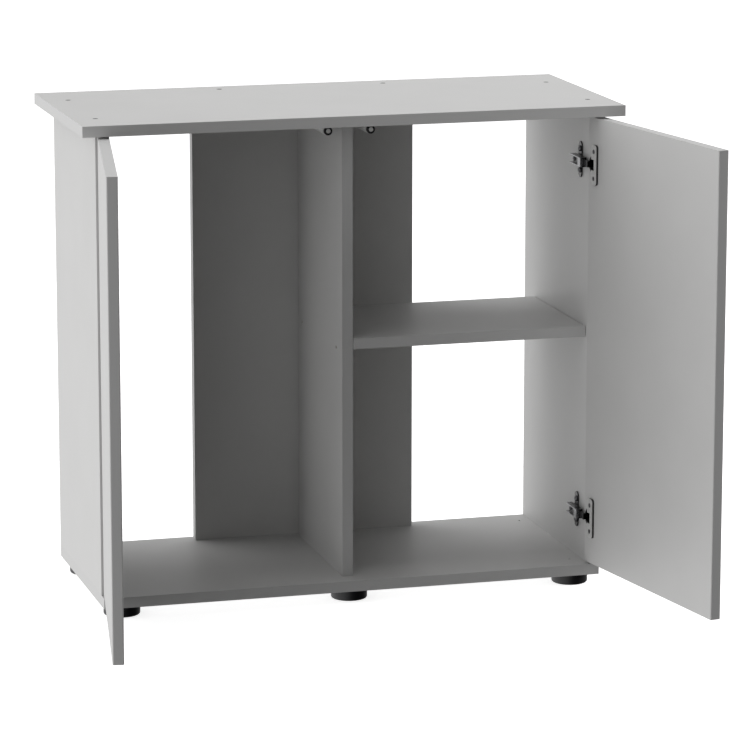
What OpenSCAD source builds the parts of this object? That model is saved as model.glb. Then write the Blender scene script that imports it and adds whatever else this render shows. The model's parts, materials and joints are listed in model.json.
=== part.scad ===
// Aquarium stand cabinet: a board carcass on six round feet, with two doors on concealed hinges.
// Millimetres. +X is to the right, +Y to the back, +Z up; the origin is on the floor under the
// middle of the top panel. The doors are drawn open.

/* [Cabinet] */
// Width of the top panel
top_w = 810; // [780:10:1000]
// Depth of the top panel
top_d = 360; // [340:10:420]
// Height of the stand
stand_h = 730; // [660:10:800]
// Thickness of every board
board = 16; // [16:1:18]
// How far the top stands out past each side
end_overhang = 26; // [20:1:34]
// How far the top stands out past the bottom panel in front
front_overhang = 20; // [14:1:24]
// How far the top stands out past the sides at the back
back_overhang = 15; // [5:1:20]
// Height of the feet
foot_h = 18; // [14:1:24]
// Diameter of the feet
foot_d = 54; // [44:1:56]

/* [Inside] */
// Middle plane of the partition, from the middle of the stand
partition_x = -4; // [-20:1:20]
// Width of the back panel
back_panel_w = 346; // [300:2:400]
// Height of the shelf's upper face above the floor
shelf_top = 394; // [250:1:480]
// Depth of the shelf
shelf_d = 247; // [180:1:250]

/* [Doors] */
// Angle at which the doors stand open
door_open = 100; // [90:1:100]
// Gap round a closed door
door_gap = 3; // [2.8:0.1:4]
// Radius of the doors' upright edges
door_round = 2; // [1.8:0.1:3]
// Distance of the hinges' middles from the door's ends
hinge_inset = 70; // [60:1:120]

/* [Latches] */
// Distance of each latch from the partition's middle plane
latch_offset = 32; // [30:1:60]
// How far a plunger stands out of its housing
latch_travel = 3.5; // [3:0.5:4]

/* [Hidden] */
$fn = 48;
eps = 0.5;       // overshoot of a cut past the face that it opens
clear = 0.05;    // radial clearance of a screw, pin or dowel in its hole
tight = 0.02;    // radial clearance of a pin that is pushed home
blind = 0.5;     // how much deeper a blind hole is than what stands in it
LEFT = -1;
RIGHT = 1;

board_color = [0.72, 0.72, 0.71];
metal_color = [0.55, 0.55, 0.56];
dark_color = [0.10, 0.10, 0.11];

// carcass
body_w = top_w - 2 * end_overhang;
side_x = body_w / 2 - board;                  // inner face of a side panel
side_mid = body_w / 2 - board / 2;            // middle of a side panel
front_y = -top_d / 2 + front_overhang;        // front edge of the bottom panel and of the closed doors
rear_y = top_d / 2 - back_overhang;           // back edge of the sides and the bottom panel
floor_z = foot_h + board;                     // upper face of the bottom panel
ceiling_z = stand_h - board;                  // lower face of the top panel
upright_h = ceiling_z - floor_z;
side_front = front_y + board + door_gap;      // front edge of a side panel
side_d = rear_y - side_front;
part_setback = 11;                            // partition's front edge, behind the sides' front edges
part_back_inset = 38;                         // partition's back edge, in front of the sides' back edges
part_front = side_front + part_setback;
part_back = rear_y - part_back_inset;
back_panel_inset = 9;                         // back panel's back face, in front of the sides' back edges
back_mid = rear_y - back_panel_inset - board / 2;
shelf_setback = 7;
shelf_front = side_front + shelf_setback;
shelf_side_gap = 1;
part_left = partition_x - board / 2;
part_right = partition_x + board / 2;

// carcass fixings
side_screw_y = [-106, 92];
part_screw_y = [-80, 80];
back_screw_x = 128;
dowel_y = [-95, 0, 95];
side_screws = [for (s = [LEFT, RIGHT], y = side_screw_y) [s * side_mid, y]];
back_screws = [for (s = [LEFT, RIGHT]) [s * back_screw_x, back_mid]];
part_screws = [for (y = part_screw_y) [partition_x, y]];
screw_r = 2.5;
screw_in = 34;           // how far a carcass screw goes into the upright board
head_r = 3.7;
head_h = 3;
cap_r = 4;
cap_h = 2;
dowel_r = 4;
dowel_up = 10;           // how far a dowel goes up into the top panel
dowel_down = 20;

// shelf pins
pin_hole_r = 2.5;
pin_in = 7.5;
pin_out = 8;
pin_nose_r = 3;
pin_hole_depth = pin_in + blind;
spare_hole_depth = 7;
shelf_pin_y = [-95, 104];
shelf_pin_z = shelf_top - board - pin_nose_r;

// feet
foot_side_inset = 18;
foot_inset = 38;
foot_x = side_x - foot_side_inset;
foot_front_y = front_y + foot_inset;
foot_back_y = rear_y - foot_inset;
foot_round = 3;
foot_screw_r = 2;
foot_well_r = 5;
foot_well_h = 8;
foot_screw_head_r = 4.2;
foot_screw_tip = 0.6;    // how far a screw stops short of the bottom panel's upper face
foot_spots = [for (y = [foot_front_y, foot_back_y], x = [-foot_x, 0, foot_x]) [x, y]];

// doors: drawn closed for the left side, then swung about the hinge pin
door_side_gap = 1.5;                          // from a door's upright edges to the end and the middle
door_w = body_w / 2 - 2 * door_side_gap;
door_h = upright_h - 2 * door_gap;
door_z = floor_z + door_gap;
door_edge = -body_w / 2 + door_side_gap;      // upright edge on the hinge side
pin_from_edge = 8.1;
pin_x = door_edge + pin_from_edge;
pin_y = front_y + board / 2;
hinge_z = [door_z + door_h - hinge_inset, door_z + hinge_inset];
UPPER = 0;
LOWER = 1;

// hinge cup, measured from the pin: x towards the door's free edge, y towards the cabinet
cup_r = 12.9;
cup_bore_r = 13;
cup_wall = 0.6;
cup_edge = 3;                                 // board left between the door's edge and the cup's bore
cup_x = cup_edge + cup_bore_r - pin_from_edge;
cup_face = board / 2;                         // the door's inner face
cup_depth = board / 2 + 4;
cup_under = 0.1;                              // room under a cup in its bore
rim_r = 13.6;
rim_h = 0.5;
flange_h = 3.8;
flange_len = 60;
flange_w = 15;
flange_clear = 0.6;                           // from the flange of a closed door to the side panel
flange_near = board - door_side_gap - pin_from_edge + flange_clear;
flange_round = 5;
mouth_end = 14.8;                             // where the cup's mouth ends, under the flange
mouth_half = 8;
cup_screw_z = 20;
cup_screw_across = 6.8;                       // from the flange's near edge to its screws
cup_screw_x = flange_near + cup_screw_across;
cup_screw_r = 1.6;
cup_screw_head_r = 3.4;
cup_screw_len = 10;
cup_screw_seat = 2.3;                         // flange left under a screw's head
cheek_z = 5.2;
cheek_w = 3;
cheek_len = 6;
hinge_pin_r = 1.5;
hinge_pin_half = 7.6;

// hinge arm and plate, measured from the side panel's front inner edge: x into the cabinet, y back
eye_x = pin_x + side_x;                       // the pin, in the same measure
eye_y = pin_y - side_front;
eye_r = 2.6;
crank = 3;                                    // thickness of the cranked strip
crank_half = 4.8;
crank_reach = 12.5;                            // from the pin to the middle of the strip's long leg
arm_top = 13;
arm_wall = 1.5;
arm_half = 7;
arm_start = 4;
arm_end = 53;
arm_shoulder = 5;                             // thickness of the channel's front wall
arm_hood = 12;                                // length of the roof over the channel's front end
arm_web = 6.4;                                // underside of the channel's floor
arm_above_plate = 0.8;                        // from the wing to the channel's edges
arm_lap = 2;                                  // how far the strip runs into the front wall
fork_y = 40;
fork_half = 3;
rail_start = 14;
rail_end = 51;
rail_half = 5.3;
rail_h = 6.2;
wing_y = 37;
wing_r = 7;
wing_half = 27;
wing_h = 2.2;
plate_screw_z = 16;
plate_screw_head_r = 4.5;
plate_screw_head_h = 2.4;
plate_screw_in = 11.5;
adjust_y = [24, 45];
adjust_seat = arm_web + arm_wall;             // the channel's floor, on which the heads lie
adjust_r = 2;
adjust_head_r = 3.6;
adjust_head_h = 2;
adjust_in = 6.9;                              // from a screw's head to its tip

// push latch, measured from its axis at the top panel's lower face
latch_x = [partition_x - latch_offset, partition_x + latch_offset];
latch_drop = 10;                              // axis below the top panel
latch_z = ceiling_z - latch_drop;
latch_door_gap = 0.5;
latch_tip = front_y + board + latch_door_gap; // just behind a closed door
latch_r = 7;
latch_head_r = 6.5;
latch_head_h = 3.5;
latch_head_round = 1.5;
latch_head_gap = 0.3;                         // left between a pressed head and the housing
latch_front = latch_tip + latch_head_h + latch_travel + latch_head_gap;
latch_len = 74;
latch_back = latch_front + latch_len;
latch_end_wall = 10;
latch_bore_r = 4.25;
latch_stem_r = 4;
latch_stem_in = 40;                           // how far a plunger's stem reaches into the housing
latch_stem_end = latch_front + latch_stem_in;
latch_bore_end = latch_back - latch_end_wall;
spring_r = 3.6;
spring_bore_r = 2.9;
spring_gap = 0.4;
ear_half = 15;
ear_h = 3;
ear_mid_y = latch_front + 48;
ear_len = 24;
ear_screw_x = 11.2;
ear_screw_r = 1.6;
ear_screw_head_r = 3.2;
ear_screw_head_h = 2;
ear_screw_in = 10;

// ---- shared shapes ----

// A board: a plain block from its lowest corner.
module slab(x, y, z, w, d, h) {
    translate([x, y, z]) cube([w, d, h]);
}

// A round bar along +Y from y0 to y1.
module bar_y(r, y0, y1) {
    translate([0, y0, 0]) rotate([-90, 0, 0]) cylinder(r = r, h = y1 - y0);
}

// A round bar along +X from x0 to x1.
module bar_x(r, x0, x1) {
    translate([x0, 0, 0]) rotate([0, 90, 0]) cylinder(r = r, h = x1 - x0);
}

// Drawn as for the left side, mirrored for the right.
module on_side(side) {
    mirror([side == RIGHT ? 1 : 0, 0, 0]) children();
}

// Turns a closed left door, or what is on it, to its open place.
module swung() {
    translate([pin_x, pin_y, 0]) rotate([0, 0, -door_open]) children();
}

// The frame in which hinge arms and plates are drawn.
module hinge_frame(level) {
    translate([-side_x, side_front, hinge_z[level]]) children();
}

// ---- carcass ----

module top_hole() {
    cylinder(r = screw_r + clear, h = board + 2 * eps);
    translate([0, 0, eps + board - cap_h - head_h]) cylinder(r = cap_r + clear, h = cap_h + head_h + eps);
}

module top_panel() {
    color(board_color) difference() {
        slab(-top_w / 2, -top_d / 2, ceiling_z, top_w, top_d, board);
        for (p = concat(side_screws, back_screws))
            translate([p[0], p[1], ceiling_z - eps]) top_hole();
        for (y = dowel_y)
            translate([partition_x, y, ceiling_z - eps])
                cylinder(r = dowel_r + clear, h = dowel_up + blind + eps);
        for (x = latch_x, s = [LEFT, RIGHT])
            translate([x + s * ear_screw_x, ear_mid_y, ceiling_z - eps])
                cylinder(r = ear_screw_r + clear, h = ear_screw_in + blind + eps);
    }
}

module bottom_panel() {
    color(board_color) difference() {
        slab(-body_w / 2, front_y, foot_h, body_w, rear_y - front_y, board);
        for (p = concat(side_screws, back_screws, part_screws))
            translate([p[0], p[1], foot_h - eps]) {
                cylinder(r = screw_r + clear, h = board + 2 * eps);
                cylinder(r = head_r + clear, h = head_h + eps);
            }
        for (p = foot_spots)
            translate([p[0], p[1], foot_h - eps]) cylinder(r = foot_screw_r + clear, h = board + 2 * eps);
    }
}

// Holes for the carcass screws in an upright board's ends.
module end_holes(points, ends) {
    for (p = points, z = ends)
        translate([p[0], p[1], z - (z == floor_z ? eps : screw_in + blind)])
            cylinder(r = screw_r + clear, h = screw_in + blind + eps);
}

module side_panel() {
    difference() {
        slab(-body_w / 2, side_front, floor_z, board, side_d, upright_h);
        end_holes([for (y = side_screw_y) [-side_mid, y]], [floor_z, ceiling_z]);
        for (level = [UPPER, LOWER], s = [-1, 1])
            hinge_frame(level) translate([0, wing_y, s * plate_screw_z])
                bar_x(screw_r, -plate_screw_in - blind, eps);
    }
}

module side_panel_left() {
    color(board_color) on_side(LEFT) side_panel();
}

module side_panel_right() {
    color(board_color) difference() {
        on_side(RIGHT) side_panel();
        for (y = shelf_pin_y)
            translate([side_x, y, shelf_pin_z]) bar_x(pin_hole_r, -eps, pin_hole_depth);
    }
}

module partition_panel() {
    color(board_color) difference() {
        slab(part_left, part_front, floor_z, board, part_back - part_front, upright_h);
        end_holes(part_screws, [floor_z]);
        for (y = dowel_y)
            translate([partition_x, y, ceiling_z - dowel_down - blind])
                cylinder(r = dowel_r + clear, h = dowel_down + blind + eps);
        for (y = shelf_pin_y) {
            translate([part_right, y, shelf_pin_z]) bar_x(pin_hole_r, -pin_hole_depth, eps);
            translate([part_left, y, shelf_pin_z]) bar_x(pin_hole_r, -eps, spare_hole_depth);
        }
    }
}

module back_panel() {
    color(board_color) difference() {
        slab(-back_panel_w / 2, back_mid - board / 2, floor_z, back_panel_w, board, upright_h);
        end_holes(back_screws, [floor_z, ceiling_z]);
    }
}

module shelf() {
    color(board_color)
        slab(part_right + shelf_side_gap, shelf_front, shelf_top - board,
            side_x - part_right - 2 * shelf_side_gap, shelf_d, board);
}

module shelf_pin() {
    bar_x(pin_hole_r - tight, -pin_in, 0);
    bar_x(pin_nose_r, 0, pin_out);
}

module shelf_pins() {
    color(metal_color) for (y = shelf_pin_y) {
        translate([part_right, y, shelf_pin_z]) shelf_pin();
        translate([side_x, y, shelf_pin_z]) mirror([1, 0, 0]) shelf_pin();
    }
}

// ---- carcass fixings ----

// A screw standing on its head at z = 0, pointing up.
module screw_up(r, length, head, head_height) {
    cylinder(r = head, h = head_height);
    cylinder(r = r, h = head_height + length);
}

module top_screws() {
    color(metal_color) for (p = concat(side_screws, back_screws))
        translate([p[0], p[1], stand_h - cap_h]) mirror([0, 0, 1])
            screw_up(screw_r, board - cap_h - head_h + screw_in, head_r, head_h);
}

module top_screw_caps() {
    color(dark_color) for (p = concat(side_screws, back_screws))
        translate([p[0], p[1], stand_h - cap_h]) cylinder(r = cap_r, h = cap_h);
}

module bottom_screws() {
    color(metal_color) for (p = concat(side_screws, back_screws, part_screws))
        translate([p[0], p[1], foot_h]) screw_up(screw_r, board - head_h + screw_in, head_r, head_h);
}

module partition_dowels() {
    color("tan") for (y = dowel_y)
        translate([partition_x, y, ceiling_z - dowel_down]) cylinder(r = dowel_r, h = dowel_down + dowel_up);
}

// ---- feet ----

module foot(column, row) {
    spot = [column * foot_x, row < 0 ? foot_front_y : foot_back_y];
    color(dark_color) translate([spot[0], spot[1], 0]) difference() {
        union() {
            translate([0, 0, foot_round]) cylinder(d = foot_d, h = foot_h - foot_round);
            cylinder(d = foot_d - 2 * foot_round, h = foot_h);
            rotate_extrude() translate([foot_d / 2 - foot_round, foot_round]) circle(r = foot_round);
        }
        translate([0, 0, -eps]) cylinder(r = foot_well_r, h = foot_well_h + eps);
        translate([0, 0, -eps]) cylinder(r = foot_screw_r + clear, h = foot_h + 2 * eps);
    }
}

module foot_screws() {
    color(metal_color) for (p = foot_spots)
        translate([p[0], p[1], foot_well_h - head_h])
            screw_up(foot_screw_r, floor_z - foot_screw_tip - foot_well_h, foot_screw_head_r, head_h);
}

// ---- doors ----

// A board's plan with rounded upright edges, from its corner at [x, y].
module rounded_plan(x, y, w, t, r) {
    translate([x + r, y]) square([w - 2 * r, t]);
    translate([x, y + r]) square([w, t - 2 * r]);
    for (cx = [x + r, x + w - r], cy = [y + r, y + t - r])
        translate([cx, cy]) circle(r = r);
}

module door() {
    swung() difference() {
        translate([0, 0, door_z]) linear_extrude(door_h)
            rounded_plan(-pin_from_edge, -board / 2, door_w, board, door_round);
        for (z = hinge_z) {
            translate([cup_x, 0, z]) bar_y(cup_bore_r, cup_face - cup_depth, cup_face + eps);
            for (s = [-1, 1])
                translate([cup_screw_x, 0, z + s * cup_screw_z])
                    bar_y(cup_screw_r + clear, cup_face - cup_screw_len - blind, cup_face + eps);
        }
    }
}

module door_left() {
    color(board_color) on_side(LEFT) door();
}

module door_right() {
    color(board_color) on_side(RIGHT) door();
}

// ---- hinges ----

// The oblong flange, lying on the door's inner face.
module flange() {
    translate([flange_near, cup_face + flange_h, 0]) rotate([90, 0, 0]) linear_extrude(flange_h)
        rounded_plan(0, -flange_len / 2, flange_w, flange_len, flange_round);
}

// The opening through which the arm enters the cup: the cup's own round, with three straight sides.
module cup_mouth() {
    intersection() {
        translate([cup_x, 0, 0]) bar_y(cup_r - cup_wall, cup_face - eps, cup_face + flange_h + eps);
        slab(cup_x - cup_r, cup_face - eps, -mouth_half,
            mouth_end - cup_x + cup_r, flange_h + 2 * eps, 2 * mouth_half);
    }
}

module hinge_cup(side, level) {
    floor_y = cup_face - cup_depth + cup_under;
    color(metal_color) on_side(side) swung() translate([0, 0, hinge_z[level]]) {
        difference() {
            union() {
                translate([cup_x, 0, 0]) bar_y(cup_r, floor_y, cup_face);
                translate([cup_x, 0, 0]) bar_y(rim_r, cup_face, cup_face + rim_h);
                flange();
            }
            translate([cup_x, 0, 0]) bar_y(cup_r - cup_wall, floor_y + cup_wall, cup_face);
            cup_mouth();
            for (s = [-1, 1])
                translate([cup_screw_x, 0, s * cup_screw_z]) {
                    bar_y(cup_screw_r + clear, cup_face - eps, cup_face + flange_h + eps);
                    bar_y(cup_screw_head_r + 2 * clear, cup_face + cup_screw_seat, cup_face + flange_h + eps);
                }
        }
        pin_cheeks(floor_y);
    }
}

// The two blocks inside a cup that hold the pin's ends.
module pin_cheeks(floor_y) {
    difference() {
        intersection() {
            translate([cup_x, 0, 0]) bar_y(cup_r - cup_wall / 2, floor_y + cup_wall / 2, cup_face);
            for (s = [-1, 1])
                translate([-cheek_w, floor_y, s > 0 ? cheek_z : -cheek_z - cheek_len])
                    cube([2 * cheek_w, cheek_w - floor_y, cheek_len]);
        }
        cylinder(r = hinge_pin_r + tight, h = 2 * (cheek_z + cheek_len), center = true);
    }
}

module hinge_pin(side, level) {
    color(metal_color) on_side(side) swung() translate([0, 0, hinge_z[level]])
        cylinder(r = hinge_pin_r, h = 2 * hinge_pin_half, center = true);
}

module cup_screws(side) {
    color(metal_color) on_side(side) swung()
        for (z = hinge_z, s = [-1, 1])
            translate([cup_screw_x, 0, z + s * cup_screw_z]) {
                bar_y(cup_screw_r, cup_face - cup_screw_len, cup_face + flange_h);
                bar_y(cup_screw_head_r, cup_face + cup_screw_seat, cup_face + flange_h);
            }
}

// The cranked strip that reaches round the side panel's edge into the cup, and the channel behind it,
// which is open towards the cabinet except under its hood.
module hinge_arm(side, level) {
    leg_x = eye_x + crank_reach;
    color(metal_color) on_side(side) hinge_frame(level) difference() {
        union() {
            translate([eye_x, eye_y, 0]) cylinder(r = eye_r, h = 2 * crank_half, center = true);
            slab(eye_x, eye_y - crank / 2, -crank_half, crank_reach + crank / 2, crank, 2 * crank_half);
            slab(leg_x - crank / 2, eye_y - crank / 2, -crank_half,
                crank, arm_start + arm_lap - eye_y, 2 * crank_half);
            slab(leg_x - crank / 2, arm_start, -arm_half,
                arm_top - leg_x + crank / 2, arm_shoulder, 2 * arm_half);
            slab(arm_top - arm_wall, arm_start, -arm_half, arm_wall, arm_hood, 2 * arm_half);
            slab(arm_web, arm_start, -arm_half, arm_wall, arm_end - arm_start, 2 * arm_half);
            for (s = [-1, 1])
                slab(wing_h + arm_above_plate, arm_start, s > 0 ? arm_half - arm_wall : -arm_half,
                    arm_top - wing_h - arm_above_plate, arm_end - arm_start, arm_wall);
        }
        translate([eye_x, eye_y, 0])
            cylinder(r = hinge_pin_r + clear, h = 2 * (crank_half + eps), center = true);
        slab(arm_web - eps, fork_y, -fork_half,
            arm_wall + 2 * eps, arm_end - fork_y + eps, 2 * fork_half);
        translate([0, adjust_y[0], 0])
            bar_x(adjust_r + 4 * clear, arm_web - eps, arm_web + arm_wall + eps);
    }
}

// Cross-shaped mounting plate: an upright wing with the two fixing screws, and the rail for the arm.
module hinge_plate(side, level) {
    color(metal_color) on_side(side) hinge_frame(level) difference() {
        union() {
            slab(0, wing_y - wing_r, -wing_half + wing_r, wing_h, 2 * wing_r, 2 * (wing_half - wing_r));
            for (s = [-1, 1])
                translate([0, wing_y, s * (wing_half - wing_r)]) bar_x(wing_r, 0, wing_h);
            slab(0, rail_start, -rail_half, rail_h, rail_end - rail_start, 2 * rail_half);
        }
        for (s = [-1, 1])
            translate([0, wing_y, s * plate_screw_z]) bar_x(screw_r + 2 * clear, -eps, wing_h + eps);
        for (y = adjust_y)
            translate([0, y, 0]) bar_x(adjust_r + 2 * clear, adjust_seat - adjust_in - blind, rail_h + eps);
    }
}

module hinge_plate_screws() {
    color(metal_color) for (side = [LEFT, RIGHT], level = [UPPER, LOWER], s = [-1, 1])
        on_side(side) hinge_frame(level) translate([0, wing_y, s * plate_screw_z]) {
            bar_x(screw_r - clear, -plate_screw_in, wing_h + plate_screw_head_h);
            bar_x(plate_screw_head_r, wing_h, wing_h + plate_screw_head_h);
        }
}

module hinge_adjusting_screws() {
    color(metal_color) for (side = [LEFT, RIGHT], level = [UPPER, LOWER], y = adjust_y)
        on_side(side) hinge_frame(level) translate([0, y, 0]) {
            bar_x(adjust_r, adjust_seat - adjust_in, adjust_seat + adjust_head_h);
            bar_x(adjust_head_r, adjust_seat, adjust_seat + adjust_head_h);
        }
}

// ---- push latches ----

module latch_frame(i) {
    translate([latch_x[i], 0, latch_z]) children();
}

module latch_housing(i) {
    color([0.75, 0.75, 0.74]) latch_frame(i) difference() {
        union() {
            bar_y(latch_r, latch_front, latch_back);
            slab(-latch_r, latch_front, 0, 2 * latch_r, latch_back - latch_front, latch_drop);
            slab(-ear_half, ear_mid_y - ear_len / 2, latch_drop - ear_h, 2 * ear_half, ear_len, ear_h);
        }
        bar_y(latch_bore_r, latch_front - eps, latch_bore_end);
        for (s = [-1, 1])
            translate([s * ear_screw_x, ear_mid_y, latch_drop - ear_h - eps])
                cylinder(r = ear_screw_r + clear, h = ear_h + 2 * eps);
    }
}

module latch_plunger(i) {
    color(dark_color) latch_frame(i) {
        bar_y(latch_stem_r, latch_tip + latch_head_round, latch_stem_end);
        bar_y(latch_head_r, latch_tip + latch_head_round, latch_tip + latch_head_h);
        bar_y(latch_head_r - latch_head_round, latch_tip, latch_tip + latch_head_h);
        translate([0, latch_tip + latch_head_round, 0]) rotate([-90, 0, 0]) rotate_extrude()
            translate([latch_head_r - latch_head_round, 0]) circle(r = latch_head_round);
    }
}

module latch_spring(i) {
    color(metal_color) latch_frame(i) difference() {
        bar_y(spring_r, latch_stem_end + spring_gap, latch_bore_end - spring_gap);
        bar_y(spring_bore_r, latch_stem_end, latch_bore_end);
    }
}

module latch_screws() {
    color(metal_color) for (i = [0, 1], s = [-1, 1])
        latch_frame(i)
            translate([s * ear_screw_x, ear_mid_y, latch_drop - ear_h - ear_screw_head_h])
                screw_up(ear_screw_r, ear_h + ear_screw_in, ear_screw_head_r, ear_screw_head_h);
}

top_panel();
bottom_panel();
side_panel_left();
side_panel_right();
partition_panel();
back_panel();
shelf();
shelf_pins();
top_screws();
top_screw_caps();
bottom_screws();
partition_dowels();
foot(-1, -1);  // foot_front_left
foot(0, -1);  // foot_front_middle
foot(1, -1);  // foot_front_right
foot(-1, 1);  // foot_back_left
foot(0, 1);  // foot_back_middle
foot(1, 1);  // foot_back_right
foot_screws();
door_left();
door_right();
hinge_plate(LEFT, UPPER);  // hinge_plate_upper_left
hinge_plate(LEFT, LOWER);  // hinge_plate_lower_left
hinge_plate(RIGHT, UPPER);  // hinge_plate_upper_right
hinge_plate(RIGHT, LOWER);  // hinge_plate_lower_right
hinge_arm(LEFT, UPPER);  // hinge_arm_upper_left
hinge_arm(LEFT, LOWER);  // hinge_arm_lower_left
hinge_arm(RIGHT, UPPER);  // hinge_arm_upper_right
hinge_arm(RIGHT, LOWER);  // hinge_arm_lower_right
hinge_cup(LEFT, UPPER);  // hinge_cup_upper_left
hinge_cup(LEFT, LOWER);  // hinge_cup_lower_left
hinge_cup(RIGHT, UPPER);  // hinge_cup_upper_right
hinge_cup(RIGHT, LOWER);  // hinge_cup_lower_right
hinge_pin(LEFT, UPPER);  // hinge_pin_upper_left
hinge_pin(LEFT, LOWER);  // hinge_pin_lower_left
hinge_pin(RIGHT, UPPER);  // hinge_pin_upper_right
hinge_pin(RIGHT, LOWER);  // hinge_pin_lower_right
hinge_plate_screws();
hinge_adjusting_screws();
cup_screws(LEFT);  // cup_screws_left
cup_screws(RIGHT);  // cup_screws_right
latch_housing(0);  // latch_housing_left
latch_housing(1);  // latch_housing_right
latch_plunger(0);  // latch_plunger_left
latch_plunger(1);  // latch_plunger_right
latch_spring(0);  // latch_spring_left
latch_spring(1);  // latch_spring_right
latch_screws();
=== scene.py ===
"""Looks for the aquarium stand cabinet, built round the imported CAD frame."""

import json
import math

import bmesh
import bpy
from mathutils import Matrix, Vector


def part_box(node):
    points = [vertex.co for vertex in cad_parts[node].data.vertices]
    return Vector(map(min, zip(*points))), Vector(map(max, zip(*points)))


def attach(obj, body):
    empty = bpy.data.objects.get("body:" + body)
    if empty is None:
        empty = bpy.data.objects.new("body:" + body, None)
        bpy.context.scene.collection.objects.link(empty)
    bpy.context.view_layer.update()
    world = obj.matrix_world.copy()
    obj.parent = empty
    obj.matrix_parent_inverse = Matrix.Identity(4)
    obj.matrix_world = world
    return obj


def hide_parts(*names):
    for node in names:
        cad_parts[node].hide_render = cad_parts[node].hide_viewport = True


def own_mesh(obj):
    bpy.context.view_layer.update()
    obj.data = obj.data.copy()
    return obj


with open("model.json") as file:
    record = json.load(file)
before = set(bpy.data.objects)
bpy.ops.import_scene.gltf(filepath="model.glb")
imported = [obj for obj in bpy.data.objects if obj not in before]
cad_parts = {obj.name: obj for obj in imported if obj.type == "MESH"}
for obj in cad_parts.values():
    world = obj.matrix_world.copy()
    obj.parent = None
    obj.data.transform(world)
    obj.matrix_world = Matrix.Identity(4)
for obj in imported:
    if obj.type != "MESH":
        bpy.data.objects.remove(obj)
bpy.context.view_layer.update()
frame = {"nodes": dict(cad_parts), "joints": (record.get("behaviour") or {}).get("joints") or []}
NODES = frame["nodes"]
JOINTS = {j["name"]: j for j in frame["joints"]}
SIDES = ("left", "right")
LEVELS = ("upper", "lower")
MM = 0.001
SAME_POINT = 0.002 * MM     # CAD vertices closer than this are one
CHANNEL_DEPTH = 8.2 * MM    # from a side panel to the floor of a hinge arm's channel
FLANGE_FACE = 11.8 * MM     # from a hinge pin to the face of the cup's flange

CAMERA_PLACE = (-1.5009, -5.6242, 1.5418)
CAMERA_DOWN = 11.83         # degrees below the horizontal
CAMERA_TURN = -15.55        # degrees from straight ahead, to the right
CAMERA_LENS = 193.5
LIGHT_AIM = (0, 0, 0.4)
FROM_LEFT = 1.75            # how bright the surroundings are to the left and to the back
FROM_BACK = 0.75

WHITE = (0.93, 0.93, 0.93)
BOARD_GREY = 0.58
# The near-black painted into metal parts where shade falls.
SHADE_BLACK = (0.035, 0.035, 0.036)
ALONG_PART = (1, 1, 0.15)   # streaks along a hinge part's height
EDGE_BAND = 1 * MM          # the thickness of a board's edge band and facing
THREAD_PITCH = 1.6 * MM
END_DEPTH = 0.05 * MM       # how far from a screw's end its CAD points still count as the end


# ---------------------------------------------------------------- camera, light and floor

def make_camera():
    data = bpy.data.cameras.new("camera")
    data.sensor_width = 36
    data.lens = CAMERA_LENS
    data.clip_start = 0.05
    data.clip_end = 100
    data.dof.use_dof = False
    cam = bpy.data.objects.new("camera", data)
    cam.location = CAMERA_PLACE
    cam.rotation_euler = (math.radians(90 - CAMERA_DOWN), 0, math.radians(CAMERA_TURN))
    bpy.context.scene.collection.objects.link(cam)
    bpy.context.scene.camera = cam


def area_light(name, place, size, watts):
    data = bpy.data.lights.new(name, "AREA")
    data.shape = "SQUARE"
    data.size = size
    data.energy = watts
    lamp = bpy.data.objects.new(name, data)
    lamp.location = place
    lamp.rotation_mode = "QUATERNION"
    lamp.rotation_quaternion = (Vector(LIGHT_AIM) - Vector(place)).to_track_quat("-Z", "Y")
    bpy.context.scene.collection.objects.link(lamp)


def make_world():
    """White to the camera, and a soft light from the left and from behind for everything else."""
    world = bpy.data.worlds.new("studio")
    bpy.context.scene.world = world
    world.use_nodes = True
    tree = world.node_tree
    tree.nodes.clear()
    coord = tree.nodes.new("ShaderNodeTexCoord")
    split = tree.nodes.new("ShaderNodeSeparateXYZ")
    tree.links.new(coord.outputs["Generated"], split.inputs[0])
    lobes = []
    for axis, strength in ((0, -FROM_LEFT), (1, FROM_BACK)):
        lobe = tree.nodes.new("ShaderNodeMath")
        lobe.operation = "MULTIPLY"
        lobe.inputs[1].default_value = strength
        tree.links.new(split.outputs[axis], lobe.inputs[0])
        clip = tree.nodes.new("ShaderNodeMath")
        clip.operation = "MAXIMUM"
        clip.inputs[1].default_value = 0
        tree.links.new(lobe.outputs[0], clip.inputs[0])
        lobes.append(clip.outputs[0])
    total = tree.nodes.new("ShaderNodeMath")
    total.operation = "ADD"
    tree.links.new(lobes[0], total.inputs[0])
    tree.links.new(lobes[1], total.inputs[1])
    light = tree.nodes.new("ShaderNodeBackground")
    tree.links.new(total.outputs[0], light.inputs["Strength"])
    backdrop = tree.nodes.new("ShaderNodeBackground")
    backdrop.inputs["Color"].default_value = (*WHITE, 1)
    path = tree.nodes.new("ShaderNodeLightPath")
    mix = tree.nodes.new("ShaderNodeMixShader")
    out = tree.nodes.new("ShaderNodeOutputWorld")
    tree.links.new(path.outputs["Is Camera Ray"], mix.inputs[0])
    tree.links.new(light.outputs[0], mix.inputs[1])
    tree.links.new(backdrop.outputs[0], mix.inputs[2])
    tree.links.new(mix.outputs[0], out.inputs[0])


def make_floor():
    half = 30
    corners = [(-half, -half, 0), (half, -half, 0), (half, half, 0), (-half, half, 0)]
    mesh = bpy.data.meshes.new("floor")
    mesh.from_pydata(corners, [], [(0, 1, 2, 3)])
    floor = bpy.data.objects.new("floor", mesh)
    bpy.context.scene.collection.objects.link(floor)
    nodes = Nodes("floor_white")
    nodes.shader(color=WHITE, roughness=0.9, specular=0.1)
    nodes.bsdf.inputs["Emission Color"].default_value = (1, 1, 1, 1)
    nodes.bsdf.inputs["Emission Strength"].default_value = 0.8
    mesh.materials.append(nodes.material)
    floor.visible_diffuse = False
    floor.visible_glossy = False


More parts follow.
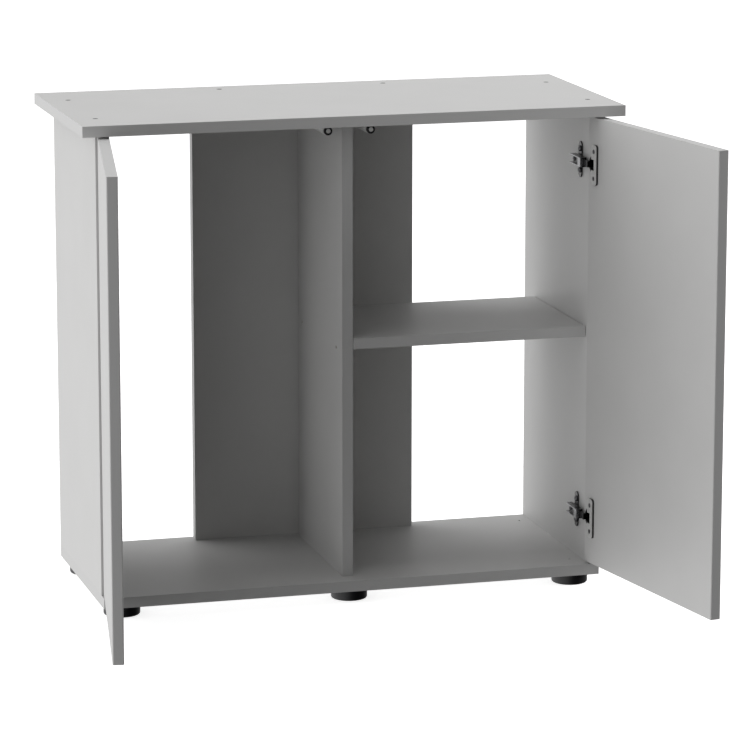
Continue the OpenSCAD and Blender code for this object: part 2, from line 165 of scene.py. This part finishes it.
# ---------------------------------------------------------------- materials

class Nodes:
    """A node tree with short calls for the nodes used here."""

    def __init__(self, name):
        self.material = bpy.data.materials.new(name)
        self.material.use_nodes = True
        self.tree = self.material.node_tree
        self.tree.nodes.clear()
        out = self.tree.nodes.new("ShaderNodeOutputMaterial")
        self.bsdf = self.tree.nodes.new("ShaderNodeBsdfPrincipled")
        self.tree.links.new(self.bsdf.outputs[0], out.inputs[0])
        self.coord = self.tree.nodes.new("ShaderNodeTexCoord").outputs["Object"]

    def plug(self, value, socket):
        if isinstance(value, bpy.types.NodeSocket):
            self.tree.links.new(value, socket)
        elif hasattr(value, "__len__") and len(value) == 3 and socket.type == "RGBA":
            socket.default_value = (*value, 1)
        else:
            socket.default_value = value

    def math(self, operation, a, b=0.0):
        n = self.tree.nodes.new("ShaderNodeMath")
        n.operation = operation
        self.plug(a, n.inputs[0])
        self.plug(b, n.inputs[1])
        return n.outputs[0]

    def vector(self, operation, a, b):
        n = self.tree.nodes.new("ShaderNodeVectorMath")
        n.operation = operation
        self.plug(a, n.inputs[0])
        self.plug(b, n.inputs[1])
        return n.outputs[0]

    def split(self, vector):
        n = self.tree.nodes.new("ShaderNodeSeparateXYZ")
        self.plug(vector, n.inputs[0])
        return n.outputs[0], n.outputs[1], n.outputs[2]

    def scaled(self, vector, scale):
        n = self.tree.nodes.new("ShaderNodeMapping")
        n.vector_type = "POINT"
        self.plug(vector, n.inputs["Vector"])
        n.inputs["Scale"].default_value = scale
        return n.outputs[0]

    def turned(self, vector, centre, angle):
        n = self.tree.nodes.new("ShaderNodeVectorRotate")
        n.rotation_type = "Z_AXIS"
        self.plug(vector, n.inputs["Vector"])
        n.inputs["Center"].default_value = centre
        n.inputs["Angle"].default_value = angle
        return n.outputs[0]

    def noise(self, vector, scale, detail=2.0, rough=0.5):
        n = self.tree.nodes.new("ShaderNodeTexNoise")
        self.plug(vector, n.inputs["Vector"])
        n.inputs["Scale"].default_value = scale
        n.inputs["Detail"].default_value = detail
        n.inputs["Roughness"].default_value = rough
        return n.outputs[0]

    def cells(self, vector, scale):
        n = self.tree.nodes.new("ShaderNodeTexVoronoi")
        self.plug(vector, n.inputs["Vector"])
        n.inputs["Scale"].default_value = scale
        return n.outputs["Distance"]

    def range(self, value, low, high, to_low=0.0, to_high=1.0):
        n = self.tree.nodes.new("ShaderNodeMapRange")
        self.plug(value, n.inputs["Value"])
        n.inputs["From Min"].default_value = low
        n.inputs["From Max"].default_value = high
        n.inputs["To Min"].default_value = to_low
        n.inputs["To Max"].default_value = to_high
        return n.outputs[0]

    def mix(self, share, a, b):
        n = self.tree.nodes.new("ShaderNodeMix")
        n.data_type = "RGBA"
        self.plug(share, n.inputs[0])
        self.plug(a, n.inputs[6])
        self.plug(b, n.inputs[7])
        return n.outputs[2]

    def bump(self, height, strength, distance, under=None):
        n = self.tree.nodes.new("ShaderNodeBump")
        n.inputs["Strength"].default_value = strength
        n.inputs["Distance"].default_value = distance
        self.plug(height, n.inputs["Height"])
        if under is not None:
            self.plug(under, n.inputs["Normal"])
        return n.outputs[0]

    def shader(self, color, roughness, metallic=0.0, specular=0.5, normal=None):
        self.plug(color, self.bsdf.inputs["Base Color"])
        self.plug(roughness, self.bsdf.inputs["Roughness"])
        self.plug(metallic, self.bsdf.inputs["Metallic"])
        self.plug(specular, self.bsdf.inputs["Specular IOR Level"])
        if normal is not None:
            self.plug(normal, self.bsdf.inputs["Normal"])
        return self.material


def tone(level, warmth=0.0):
    """A grey with a very slight warm cast."""
    return (level * (1 + warmth), level * (1 + 0.4 * warmth), level * (1 - warmth))


def board_material(name, lo, hi, turn=None):
    """Melamine-faced particle board: a fine pearl grain on the faces, an edge band with its glue
    line, and the brown core where a hole cuts into the board. lo and hi are the board's corners.
    turn is (centre, angle) for a board that stands at an angle, with lo and hi in its own frame."""
    n = Nodes(name)
    place = n.coord if turn is None else n.turned(n.coord, *turn)

    # How deep each point lies under the board's faces and under its edges.
    from_lo = n.vector("SUBTRACT", place, tuple(lo))
    inside = n.vector("MINIMUM", from_lo, n.vector("SUBTRACT", tuple(hi), place))
    depth = list(n.split(inside))
    thin = min(range(3), key=lambda k: hi[k] - lo[k])
    face_depth = depth.pop(thin)
    edge_depth = n.math("MINIMUM", *depth)
    on_edge = n.range(edge_depth, 0.35 * MM, 0.25 * MM)

    # The core lies under both, and the glue line is a thin dark line where the edge band ends.
    under_face = n.range(face_depth, 0.9 * EDGE_BAND, 1.1 * EDGE_BAND)
    core = n.math("MULTIPLY", under_face, n.range(edge_depth, 0.9 * EDGE_BAND, 1.1 * EDGE_BAND))
    glue_start = n.range(edge_depth, 0.85 * EDGE_BAND, 0.95 * EDGE_BAND)
    glue_end = n.range(edge_depth, 1.15 * EDGE_BAND, 1.05 * EDGE_BAND)
    glue = n.math("MULTIPLY", glue_start, glue_end)
    glue = n.math("MULTIPLY", glue, n.range(face_depth, 0.9 * EDGE_BAND, 0.7 * EDGE_BAND))

    # The faces vary by a few percent in broad clouds, fine pearl and small flecks.
    cloud = n.noise(place, 9, 3)
    pearl = n.noise(place, 1500, 2, 0.6)
    flecks = n.cells(place, 700)
    value = n.range(cloud, 0.3, 0.7, 0.985, 1.015)
    value = n.math("MULTIPLY", value, n.range(pearl, 0.3, 0.7, 0.975, 1.025))
    value = n.math("MULTIPLY", value, n.range(flecks, 0.0, 0.5, 1.01, 0.99))
    plain = n.tree.nodes.new("ShaderNodeVectorMath")
    plain.operation = "SCALE"
    plain.inputs[0].default_value = tone(BOARD_GREY, 0.006)
    n.plug(value, plain.inputs["Scale"])
    faces = plain.outputs[0]
    band = n.mix(on_edge, faces, tone(0.97 * BOARD_GREY, 0.004))

    chips = n.cells(place, 900)
    brown = n.mix(n.range(chips, 0.05, 0.5), (0.30, 0.20, 0.11), (0.50, 0.36, 0.22))
    lined = n.mix(n.math("MULTIPLY", glue, 0.35), band, tone(0.45 * BOARD_GREY))
    color = n.mix(core, lined, brown)
    rough = n.math("ADD", n.range(pearl, 0.3, 0.7, 0.40, 0.50), n.math("MULTIPLY", core, 0.4))
    grain = n.bump(pearl, 0.35, 0.12 * MM)
    wave = n.bump(n.noise(place, 60, 2), 0.1, 0.2 * MM, under=grain)
    return n.shader(color, rough, specular=0.35, normal=wave)


def metal_material(name, color, rough, streak=(1, 1, 1), scuff=0.5, metallic=1.0, painted_shade=None):
    """Plated sheet or turned metal: drawn streaks, a mottled sheen and a few dull scuffs.
    Its last argument, if given, is a function of n that gives the share of each point painted
    near-black as shade."""
    n = Nodes(name)
    lines = n.noise(n.scaled(n.coord, streak), 900, 4, 0.65)
    mottle = n.noise(n.coord, 260, 3)
    dull = n.range(n.noise(n.coord, 90, 4, 0.7), 0.55, 0.75, 0.0, scuff)
    tint = n.mix(n.range(mottle, 0.3, 0.7), tuple(0.82 * c for c in color), color)
    tint = n.mix(dull, tint, tuple(0.6 * c for c in color))
    # The given share of the part is painted near-black as shade.
    if painted_shade:
        tint = n.mix(painted_shade(n), tint, SHADE_BLACK)
    drawn = n.range(lines, 0.3, 0.7, rough - 0.06, rough + 0.08)
    roughness = n.math("ADD", drawn, n.math("MULTIPLY", dull, 0.25))
    return n.shader(tint, roughness, metallic=metallic, normal=n.bump(lines, 0.12, 0.05 * MM))


def open_turn(side):
    """The turn that takes a door from open to closed: the hinge pin's place and the angle."""
    joint = JOINTS[side + "_door_hinge"]
    return Vector(joint["pos_m"]), math.radians(joint["range_deg"][1]) * joint["axis"][2]


def cup_material(side):
    """Satin nickel on the face of a hinge cup's flange, with the flange's side wall under that face
    painted black as shade.
    """
    pin, angle = open_turn(side)
    face_y = pin.y + FLANGE_FACE

    # Below the flange's face, the side wall is painted near-black as shade.
    def under_face(n):
        y = n.split(n.turned(n.coord, pin, angle))[1]
        return n.range(y, face_y - 0.35 * MM, face_y - 0.55 * MM)

    return metal_material("nickel_cup_" + side, (0.74, 0.74, 0.73), 0.38, streak=ALONG_PART,
                          scuff=0.2, metallic=0.35, painted_shade=under_face)


def plastic_material(name, color, rough, grain):
    """Moulded plastic with a fine eroded grain."""
    n = Nodes(name)
    fine = n.noise(n.coord, 1400, 3, 0.6)
    large = n.noise(n.coord, 45, 2)
    dark, light = (tuple(share * c for c in color) for share in (0.88, 1.08))
    tint = n.mix(n.range(large, 0.3, 0.7), dark, light)
    tint = n.mix(n.range(fine, 0.35, 0.7, 0.0, 0.25), tint, tuple(0.7 * c for c in color))
    roughness = n.range(fine, 0.3, 0.7, rough - 0.06, rough + 0.06)
    return n.shader(tint, roughness, specular=0.5, normal=n.bump(fine, grain, 0.08 * MM))


def wood_material(name):
    """Turned beech with its grain along the dowel and short dark flecks."""
    n = Nodes(name)
    grain = n.noise(n.scaled(n.coord, (1, 1, 0.06)), 700, 5, 0.6)
    flecks = n.cells(n.scaled(n.coord, (1, 1, 0.2)), 1100)
    tint = n.mix(n.range(grain, 0.3, 0.7), (0.62, 0.43, 0.25), (0.74, 0.56, 0.36))
    tint = n.mix(n.range(flecks, 0.12, 0.05, 0.0, 0.6), tint, (0.36, 0.21, 0.10))
    return n.shader(tint, n.range(grain, 0.3, 0.7, 0.55, 0.7), normal=n.bump(grain, 0.3, 0.1 * MM))


# ---------------------------------------------------------------- pieces

def soften(obj, width, segments=2):
    """Rounds a CAD node's sharp edges and shades its curved faces smoothly. The flat faces'
    triangles are joined first, so that only real edges are rounded."""
    weld = obj.modifiers.new("weld", "WELD")
    weld.merge_threshold = SAME_POINT
    flat = obj.modifiers.new("flat", "DECIMATE")
    flat.decimate_type = "DISSOLVE"
    flat.angle_limit = math.radians(0.5)
    bevel = obj.modifiers.new("bevel", "BEVEL")
    bevel.width = width
    bevel.segments = segments
    bevel.limit_method = "ANGLE"
    bevel.angle_limit = math.radians(35)
    bevel.harden_normals = True
    for face in obj.data.polygons:
        face.use_smooth = True
    normals = obj.modifiers.new("normals", "WEIGHTED_NORMAL")
    normals.keep_sharp = True
    normals.weight = 60


def dress(obj, material):
    obj.data.materials.clear()
    obj.data.materials.append(material)


def add_piece(name, bm, material, body, node=None, smooth=40):
    """Makes a piece from a bmesh. It rides on body, and stands in for node if one is given."""
    bmesh.ops.recalc_face_normals(bm, faces=bm.faces)
    for face in bm.faces:
        face.smooth = True
    for edge in bm.edges:
        if len(edge.link_faces) == 2 and edge.calc_face_angle(0) > math.radians(smooth):
            edge.smooth = False
    mesh = bpy.data.meshes.new(name)
    bm.to_mesh(mesh)
    bm.free()
    obj = bpy.data.objects.new(name, mesh)
    bpy.context.scene.collection.objects.link(obj)
    mesh.materials.append(material)
    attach(obj, body)
    if node:
        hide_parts(node)
    return obj


def loft(bm, rings):
    """Joins rings of equal length into a skin and closes both ends."""
    made = [[bm.verts.new(p) for p in ring] for ring in rings]
    count = len(made[0])
    for a, b in zip(made, made[1:]):
        for k in range(count):
            bm.faces.new((a[k], a[(k + 1) % count], b[(k + 1) % count], b[k]))
    bm.faces.new(list(reversed(made[0])))
    bm.faces.new(made[-1])


def cross_outline(half_long, half_wide):
    """Points round a cross-shaped drive recess."""
    steps = 3
    corners = []
    for c, s in ((1, 0), (0, 1), (-1, 0), (0, -1)):
        for x, y in ((half_long, -half_wide), (half_long, half_wide), (half_wide, half_wide)):
            corners.append((x * c - y * s, x * s + y * c))
    points = []
    for (x0, y0), (x1, y1) in zip(corners, corners[1:] + corners[:1]):
        for i in range(steps):
            t = i / steps
            points.append((x0 + t * (x1 - x0), y0 + t * (y1 - y0)))
    return points


def add_screw(bm, tip, axis, length, shank_r, head_r, head_h, dome, turn):
    """A threaded screw with a cross recess. tip is its point and axis the way from there to the
    head's top. dome is the rounded share of the head's height, and turn the recess's angle."""
    axis = Vector(axis).normalized()
    across = axis.orthogonal().normalized()
    basis = Matrix((across, axis.cross(across), axis)).transposed() @ Matrix.Rotation(turn, 3, "Z")
    drive = cross_outline(0.62 * head_r, 0.16 * head_r)
    angles = [math.atan2(y, x) for x, y in drive]

    def circle(radius, z):
        return [Vector((radius * math.cos(a), radius * math.sin(a), z)) for a in angles]

    def shaped(scale, z):
        return [Vector((scale * x, scale * y, z)) for x, y in drive]

    under = length - head_h
    turns = max(4, int(under * 0.8 / THREAD_PITCH))
    rings = [circle(0.25 * shank_r, 0), circle(0.72 * shank_r, 0.08 * under)]
    for k in range(turns):
        z = under * (0.08 + 0.78 * (k + 0.5) / turns)
        step = under * 0.78 / turns
        rings.append(circle(0.74 * shank_r, z - 0.3 * step))
        rings.append(circle(shank_r, z))
        rings.append(circle(0.74 * shank_r, z + 0.3 * step))
    rings += [circle(0.95 * shank_r, 0.9 * under), circle(0.95 * shank_r, under)]
    rings += [circle(0.97 * head_r, under), circle(head_r, under + 0.2 * head_h)]
    rings.append(circle(head_r, length - (dome + 0.15) * head_h))
    rings.append(circle(0.94 * head_r, length - dome * head_h))
    rings.append(circle(0.8 * head_r, length - 0.25 * dome * head_h))
    rings += [shaped(1.06, length), shaped(1.0, length - 0.05 * head_h)]
    rings.append(shaped(0.72, length - 0.62 * head_h))
    loft(bm, [[Vector(tip) + basis @ p for p in ring] for ring in rings])


def node_islands(node):
    """A CAD node's separate solids as (lowest corner, highest corner, points), in a fixed order."""
    bm = bmesh.new()
    bm.from_mesh(NODES[node].data)
    bmesh.ops.remove_doubles(bm, verts=bm.verts, dist=SAME_POINT)
    seen, found = set(), []
    for start in bm.verts:
        if start in seen:
            continue
        group, stack = [], [start]
        seen.add(start)
        while stack:
            v = stack.pop()
            group.append(v.co.copy())
            for e in v.link_edges:
                other = e.other_vert(v)
                if other not in seen:
                    seen.add(other)
                    stack.append(other)
        lo = Vector([min(p[k] for p in group) for k in range(3)])
        hi = Vector([max(p[k] for p in group) for k in range(3)])
        found.append((lo, hi, group))
    bm.free()
    found.sort(key=lambda f: [round(c, 4) for c in (*f[0], *f[1])])
    return found


def screw_ends(points, axis):
    """A screw's tip, length, shank radius and head radius, from its CAD points and its axis."""
    axis = Vector(axis).normalized()
    along = [p.dot(axis) for p in points]
    low, high = min(along), max(along)
    head = [p for p, a in zip(points, along) if a > high - END_DEPTH]
    tail = [p for p, a in zip(points, along) if a < low + END_DEPTH]
    centre = sum(tail, Vector()) / len(tail)
    head_mid = sum(head, Vector()) / len(head)
    shank_r = max((p - centre).length for p in tail)
    head_r = max((p - head_mid).length for p in head)
    return centre, high - low, shank_r, head_r


def add_screws(name, node, axis, head_h, dome, material, body):
    """Threaded screws with drive recesses in place of a node's plain ones. axis may be a function
    of the screw's place."""
    bm = bmesh.new()
    for k, (lo, hi, points) in enumerate(node_islands(node)):
        way = axis((lo + hi) / 2) if callable(axis) else axis
        tip, length, shank_r, head_r = screw_ends(points, way)
        add_screw(bm, tip, way, length, shank_r, head_r, head_h, dome, turn=0.35 + 0.8 * k)
    add_piece(name, bm, material, body, node)


def add_coil(name, node, material):
    """A wound spring in place of a plain tube along Y, with closed ends."""
    lo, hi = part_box(node)
    wire = 0.35 * MM
    mid_x, mid_z = (lo.x + hi.x) / 2, (lo.z + hi.z) / 2
    radius = (hi.x - lo.x) / 2 - wire
    turns, steps, sides = 11, 20, 8
    end_turns = 1.2
    rings = []
    total = turns * steps
    for i in range(total + 1):
        turn = i / steps
        spread = min(turn, turns - turn, end_turns) / end_turns
        share = i / total
        rise = share * 0.94 + 0.03 + 0.03 * (1 - spread) * (2 * share - 1)
        y = lo.y + wire + (hi.y - lo.y - 2 * wire) * rise
        a = 2 * math.pi * turn
        out = Vector((math.cos(a), 0, math.sin(a)))
        middle = Vector((mid_x, y, mid_z)) + radius * out
        ring = []
        for s in range(sides):
            b = 2 * math.pi * s / sides
            ring.append(middle + wire * (math.cos(b) * out + Vector((0, math.sin(b), 0))))
        rings.append(ring)
    bm = bmesh.new()
    loft(bm, rings)
    obj = add_piece(name, bm, material, "cabinet", node, smooth=60)
    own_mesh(obj)


def add_plunger_highlight(side, material):
    """A light grey, slightly domed disc in the middle of a latch plunger's dark end: a painted
    highlight that stands in for the glint on that end.
    """
    lo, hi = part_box("latch_plunger_" + side)
    middle = Vector(((lo.x + hi.x) / 2, lo.y, (lo.z + hi.z) / 2))
    steps = 32
    rings = []
    radii_and_heights = ((3.3, -0.3), (3.3, 0.1), (3.0, 0.25), (2.2, 0.35), (1.0, 0.4))
    for radius, out in radii_and_heights:
        ring = []
        for k in range(steps):
            a = 2 * math.pi * k / steps
            ring.append(middle + MM * Vector((radius * math.cos(a), -out, radius * math.sin(a))))
        rings.append(ring)
    bm = bmesh.new()
    loft(bm, rings)
    add_piece("plunger_highlight_" + side, bm, material, "plunger_" + side)


# ---------------------------------------------------------------- the cabinet

def dress_boards():
    straight = ("top_panel", "bottom_panel", "side_panel_left", "side_panel_right",
                "partition_panel", "back_panel", "shelf")
    for name in straight:
        lo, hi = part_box(name)
        dress(NODES[name], board_material("melamine_" + name, lo, hi))
        soften(NODES[name], 0.5 * MM)
    for side in SIDES:
        pin, angle = open_turn(side)
        door = NODES["door_" + side]
        back = Matrix.Translation(pin) @ Matrix.Rotation(angle, 4, "Z") @ Matrix.Translation(-pin)
        closed = [back @ v.co for v in door.data.vertices]
        lo = Vector([min(p[k] for p in closed) for k in range(3)])
        hi = Vector([max(p[k] for p in closed) for k in range(3)])
        dress(door, board_material("melamine_door_" + side, lo, hi, turn=(pin, angle)))
        soften(door, 0.5 * MM)


def dress_metal():
    channel_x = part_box("side_panel_right")[0].x - CHANNEL_DEPTH

    # The floor of each hinge arm's channel is painted near-black as shade in that recess.
    def channel_floor_shade(n):
        distance = n.math("ABSOLUTE", n.split(n.coord)[0])
        return n.range(distance, channel_x - 0.15 * MM, channel_x + 0.15 * MM)

    def inward(place):
        return (1, 0, 0) if place.x < 0 else (-1, 0, 0)

    nickel = metal_material("nickel_plate", (0.28, 0.28, 0.29), 0.24, streak=ALONG_PART,
                            painted_shade=channel_floor_shade)
    shelf_nickel = metal_material("nickel_pin", (0.60, 0.60, 0.60), 0.25, scuff=0.2)
    cup_nickel = {side: cup_material(side) for side in SIDES}
    pin_steel = metal_material("pin_steel", (0.42, 0.42, 0.43), 0.24, streak=(1, 1, 6), scuff=0.2)
    zinc = metal_material("zinc_screw", (0.22, 0.22, 0.23), 0.32, scuff=0.4)
    wire = metal_material("spring_wire", (0.45, 0.45, 0.46), 0.25, scuff=0.2)
    for side in SIDES:
        for level in LEVELS:
            place = level + "_" + side
            for kind, width, finish in (("hinge_plate_", 0.35, nickel), ("hinge_arm_", 0.3, nickel),
                                        ("hinge_cup_", 0.3, cup_nickel[side])):
                dress(NODES[kind + place], finish)
                soften(NODES[kind + place], width * MM)
            dress(NODES["hinge_pin_" + place], pin_steel)
            soften(NODES["hinge_pin_" + place], 0.3 * MM)
    dress(NODES["shelf_pins"], shelf_nickel)
    soften(NODES["shelf_pins"], 0.6 * MM, segments=3)

    up, down = (0, 0, 1), (0, 0, -1)
    for name, node, axis, head_h, dome in (
            ("carcass_screws_top", "top_screws", up, 3, 0.1),
            ("carcass_screws_bottom", "bottom_screws", down, 3, 0.1),
            ("feet_screws", "foot_screws", down, 3, 0.25),
            ("latch_fixing_screws", "latch_screws", down, 2, 0.5),
            ("plate_screws", "hinge_plate_screws", inward, 2.4, 0.4),
            ("adjusting_screws", "hinge_adjusting_screws", inward, 2, 0.3)):
        add_screws(name, node, axis, head_h * MM, dome, zinc, "cabinet")
    for side in SIDES:
        out = Matrix.Rotation(-open_turn(side)[1], 3, "Z") @ Vector((0, 1, 0))
        add_screws("cup_fixing_screws_" + side, "cup_screws_" + side, out, 1.5 * MM, 0.15, zinc,
                   "door_" + side)
        add_coil("latch_coil_" + side, "latch_spring_" + side, wire)


def dress_plastic():
    foot = plastic_material("foot_black", (0.012, 0.012, 0.014), 0.42, 0.5)
    cap = plastic_material("cap_grey", (0.035, 0.035, 0.035), 0.5, 0.3)
    housing = plastic_material("latch_grey", (0.80, 0.80, 0.79), 0.42, 0.3)
    # A light grey plastic painted as the highlight on the plungers' dark ends.
    face = plastic_material("plunger_highlight", (0.75, 0.75, 0.74), 0.25, 0.1)
    plunger = plastic_material("plunger_dark", (0.02, 0.02, 0.022), 0.16, 0.1)
    for row in ("front", "back"):
        for column in ("left", "middle", "right"):
            name = "foot_" + row + "_" + column
            dress(NODES[name], foot)
            soften(NODES[name], 0.8 * MM, segments=3)
    dress(NODES["top_screw_caps"], cap)
    soften(NODES["top_screw_caps"], 0.3 * MM)
    for side in SIDES:
        dress(NODES["latch_housing_" + side], housing)
        soften(NODES["latch_housing_" + side], 0.5 * MM)
        dress(NODES["latch_plunger_" + side], plunger)
        soften(NODES["latch_plunger_" + side], 0.25 * MM)
        # Each plunger gets its painted highlight disc.
        add_plunger_highlight(side, face)
    dress(NODES["partition_dowels"], wood_material("beech_dowel"))
    soften(NODES["partition_dowels"], 0.8 * MM)


bpy.context.scene.view_settings.view_transform = "Standard"
make_camera()
make_world()
make_floor()
area_light("overhead", (0, 0.6, 4.0), size=3, watts=66)
area_light("right_side", (4.0, -0.6, 1.6), size=2, watts=100)
dress_boards()
dress_metal()
dress_plastic()
